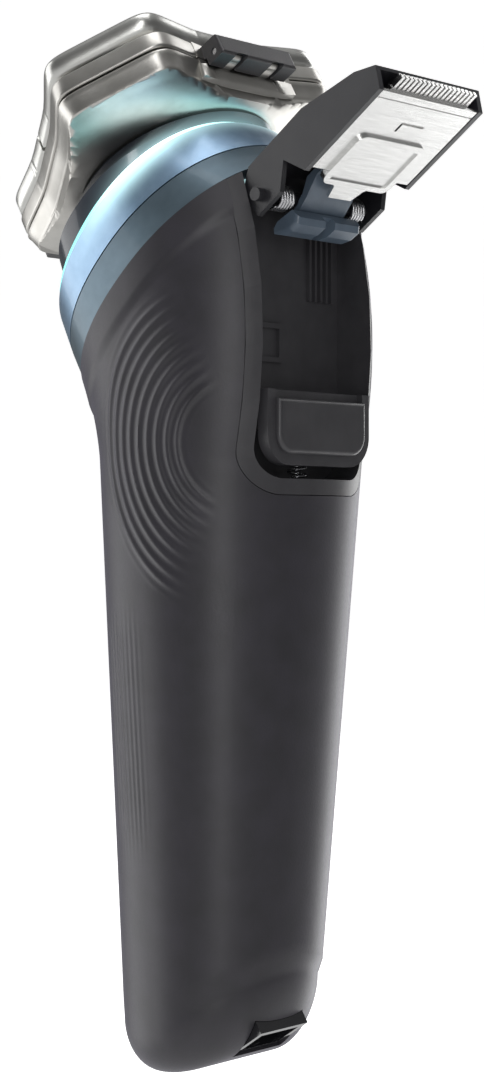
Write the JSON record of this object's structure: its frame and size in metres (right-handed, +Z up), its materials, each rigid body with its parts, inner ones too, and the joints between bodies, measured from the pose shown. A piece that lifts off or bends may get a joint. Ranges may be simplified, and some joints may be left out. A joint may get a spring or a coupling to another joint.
{
  "type": "electric shaver",
  "caption": "Rotary electric shaver with a tilted three-lobed shaving head, a blue collar with a light ring, a ribbed grip and a flip-out trimmer in its back.",
  "frame": {"origin": "centre of the charging socket mouth in the sloped base", "axes": "+Z up along the handle towards the shaving head, +Y towards the trimmer at the back, -Y towards the power button, +X to the right seen from the front"},
  "size_m": [0.0558, 0.0832, 0.1643],
  "materials": {
    "grip_rubber": "soft touch, fine ribs",
    "panel_black": "gloss",
    "window_smoke": "gloss smoked",
    "button_black": "satin",
    "bay_grey": "satin",
    "collar_blue": "metallic lacquer",
    "light_guide": "clear light guide",
    "dome_slate": "gloss",
    "frame_white": "moulded",
    "cell_green": "sleeved",
    "nickel": "plain",
    "board_green": "solder mask",
    "chip_black": "moulded",
    "motor_steel": "drawn",
    "brass": "turned",
    "gear_plastic": "acetal",
    "seal_rubber": "soft",
    "spring_steel": "wire",
    "trimmer_black": "satin",
    "blade_steel": "satin",
    "lever_blue": "satin",
    "chamber_chrome": "satin chrome",
    "bezel_chrome": "satin chrome",
    "bar_dark": "satin"
  },
  "bodies": {
    "handle": {"grip_shell": "grip_rubber", "front_panel": "panel_black", "display_window": "window_smoke", "rear_bay": "bay_grey", "collar_lower": "collar_blue", "collar_upper": "collar_blue", "light_ring": "light_guide", "light_board": "board_green", "neck_dome": "dome_slate", "charging_socket": "panel_black", "contact_pins": "nickel", "inner_frame": "frame_white", "battery_cell": "cell_green", "battery_tabs": "nickel", "circuit_board": "board_green", "board_parts": "chip_black", "motor_body": "motor_steel", "motor_screws": "nickel", "gear_platform": "frame_white", "spindle_bearing": "brass", "neck_seal": "seal_rubber", "release_spring": "spring_steel"},
    "power_key": {"power_button": "button_black"},
    "motor_rotor": {"motor_pinion": "brass"},
    "drive": {"drive_spindle": "gear_plastic"},
    "trimmer": {"trimmer_frame": "trimmer_black", "trimmer_plate": "blade_steel", "trimmer_comb": "blade_steel", "trimmer_pin": "trimmer_black", "trimmer_springs": "spring_steel"},
    "trimmer_drive": {"trimmer_lever": "lever_blue"},
    "trimmer_blade": {"trimmer_cutter": "blade_steel"},
    "release_key": {"release_slide": "bay_grey"},
    "head_base": {"hair_chamber": "chamber_chrome", "gear_cover": "panel_black", "head_coupling": "trimmer_black", "hinge_pin": "nickel"},
    "head_latch": {"head_release": "bar_dark"},
    "central_drive": {"central_gear": "gear_plastic"},
    "head_top": {"head_frame": "chamber_chrome", "hinge_cover": "bar_dark", "retaining_plate": "bay_grey"},
    "unit_drive_1": {"unit_gear_1": "gear_plastic"},
    "unit_1": {"unit_bezel_1": "bezel_chrome", "shaving_guard_1": "blade_steel"},
    "cutter_1": {"rotary_cutter_1": "blade_steel"},
    "unit_drive_2": {"unit_gear_2": "gear_plastic"},
    "unit_2": {"unit_bezel_2": "bezel_chrome", "shaving_guard_2": "blade_steel"},
    "cutter_2": {"rotary_cutter_2": "blade_steel"},
    "unit_drive_3": {"unit_gear_3": "gear_plastic"},
    "unit_3": {"unit_bezel_3": "bezel_chrome", "shaving_guard_3": "blade_steel"},
    "cutter_3": {"rotary_cutter_3": "blade_steel"}
  },
  "joints": [
    {"name": "power_button_press", "type": "slide", "parent": "handle", "child": "power_key", "axis": [0, 1, 0], "range_m": [0, 0.0006], "stiffness_N_per_m": 500, "springref_m": -0.001},
    {"name": "drive_spin", "type": "hinge", "parent": "handle", "child": "drive", "pos_m": [0, -0.01319, 0.12384], "axis": [0, -0.4955, 0.8686], "continuous": true},
    {"name": "motor_spin", "type": "hinge", "parent": "handle", "child": "motor_rotor", "pos_m": [0, -0.0181, 0.11529], "axis": [0, -0.4955, 0.8686], "continuous": true},
    {"name": "trimmer_swing", "type": "hinge", "parent": "handle", "child": "trimmer", "pos_m": [0, 0.009, 0.12861], "axis": [1, 0, 0], "range_deg": [-124.5, 0], "stiffness_Nm_per_rad": 0.002, "springref_deg": 34.38},
    {"name": "trimmer_rock", "type": "hinge", "parent": "trimmer", "child": "trimmer_drive", "pos_m": [0, 0.0153, 0.13356], "axis": [0, -0.5779, 0.8161], "range_deg": [-4, 4]},
    {"name": "trimmer_stroke", "type": "slide", "parent": "trimmer", "child": "trimmer_blade", "axis": [1, 0, 0], "range_m": [-0.00085, 0.00085]},
    {"name": "trimmer_release", "type": "slide", "parent": "handle", "child": "release_key", "axis": [0, 0, -1], "range_m": [0, 0.0018], "stiffness_N_per_m": 300, "springref_m": -0.002, "deforming": ["release_spring"]},
    {"name": "head_pull_off", "type": "slide", "parent": "handle", "child": "head_base", "axis": [0, -0.4955, 0.8686], "range_m": [0, 0.012]},
    {"name": "head_release_press", "type": "slide", "parent": "head_base", "child": "head_latch", "axis": [0, 0.8686, 0.4955], "range_m": [0, 0.0008], "stiffness_N_per_m": 500, "springref_m": -0.001},
    {"name": "central_spin", "type": "hinge", "parent": "head_base", "child": "central_drive", "pos_m": [0, -0.02112, 0.13774], "axis": [0, -0.4955, 0.8686], "continuous": true},
    {"name": "head_open", "type": "hinge", "parent": "head_base", "child": "head_top", "pos_m": [0, -0.00396, 0.15247], "axis": [-1, 0, 0], "range_deg": [0, 95]},
    {"name": "unit_spin_1", "type": "hinge", "parent": "head_base", "child": "unit_drive_1", "pos_m": [0.01342, -0.01498, 0.14262], "axis": [0, -0.4955, 0.8686], "continuous": true},
    {"name": "unit_flex_1", "type": "hinge", "parent": "head_top", "child": "unit_1", "pos_m": [0.01342, -0.01835, 0.14853], "axis": [-0.5, 0.7523, 0.4291], "range_deg": [-2.5, 2.5], "stiffness_Nm_per_rad": 0.15},
    {"name": "cutter_spin_1", "type": "hinge", "parent": "unit_1", "child": "cutter_1", "pos_m": [0.01342, -0.01885, 0.1494], "axis": [0, -0.4955, 0.8686], "continuous": true},
    {"name": "unit_spin_2", "type": "hinge", "parent": "head_base", "child": "unit_drive_2", "pos_m": [-0.01342, -0.01498, 0.14262], "axis": [0, -0.4955, 0.8686], "continuous": true},
    {"name": "unit_flex_2", "type": "hinge", "parent": "head_top", "child": "unit_2", "pos_m": [-0.01342, -0.01835, 0.14853], "axis": [-0.5, -0.7523, -0.4291], "range_deg": [-2.5, 2.5], "stiffness_Nm_per_rad": 0.15},
    {"name": "cutter_spin_2", "type": "hinge", "parent": "unit_2", "child": "cutter_2", "pos_m": [-0.01342, -0.01885, 0.1494], "axis": [0, -0.4955, 0.8686], "continuous": true},
    {"name": "unit_spin_3", "type": "hinge", "parent": "head_base", "child": "unit_drive_3", "pos_m": [0, -0.03518, 0.1311], "axis": [0, -0.4955, 0.8686], "continuous": true},
    {"name": "unit_flex_3", "type": "hinge", "parent": "head_top", "child": "unit_3", "pos_m": [0, -0.03855, 0.13701], "axis": [1, 0, 0], "range_deg": [-2.5, 2.5], "stiffness_Nm_per_rad": 0.15},
    {"name": "cutter_spin_3", "type": "hinge", "parent": "unit_3", "child": "cutter_3", "pos_m": [0, -0.03904, 0.13788], "axis": [0, -0.4955, 0.8686], "continuous": true}
  ],
  "couplings": [
    {"joint": "motor_spin", "follows": "drive_spin", "ratio": -1.8333},
    {"joint": "central_spin", "follows": "drive_spin", "ratio": 1},
    {"joint": "trimmer_rock", "follows": "trimmer_stroke", "rad_per_m": -80},
    {"joint": "unit_spin_1", "follows": "drive_spin", "ratio": -1.6957},
    {"joint": "cutter_spin_1", "follows": "drive_spin", "ratio": -1.6957},
    {"joint": "unit_spin_2", "follows": "drive_spin", "ratio": -1.6957},
    {"joint": "cutter_spin_2", "follows": "drive_spin", "ratio": -1.6957},
    {"joint": "unit_spin_3", "follows": "drive_spin", "ratio": -1.6957},
    {"joint": "cutter_spin_3", "follows": "drive_spin", "ratio": -1.6957}
  ]
}
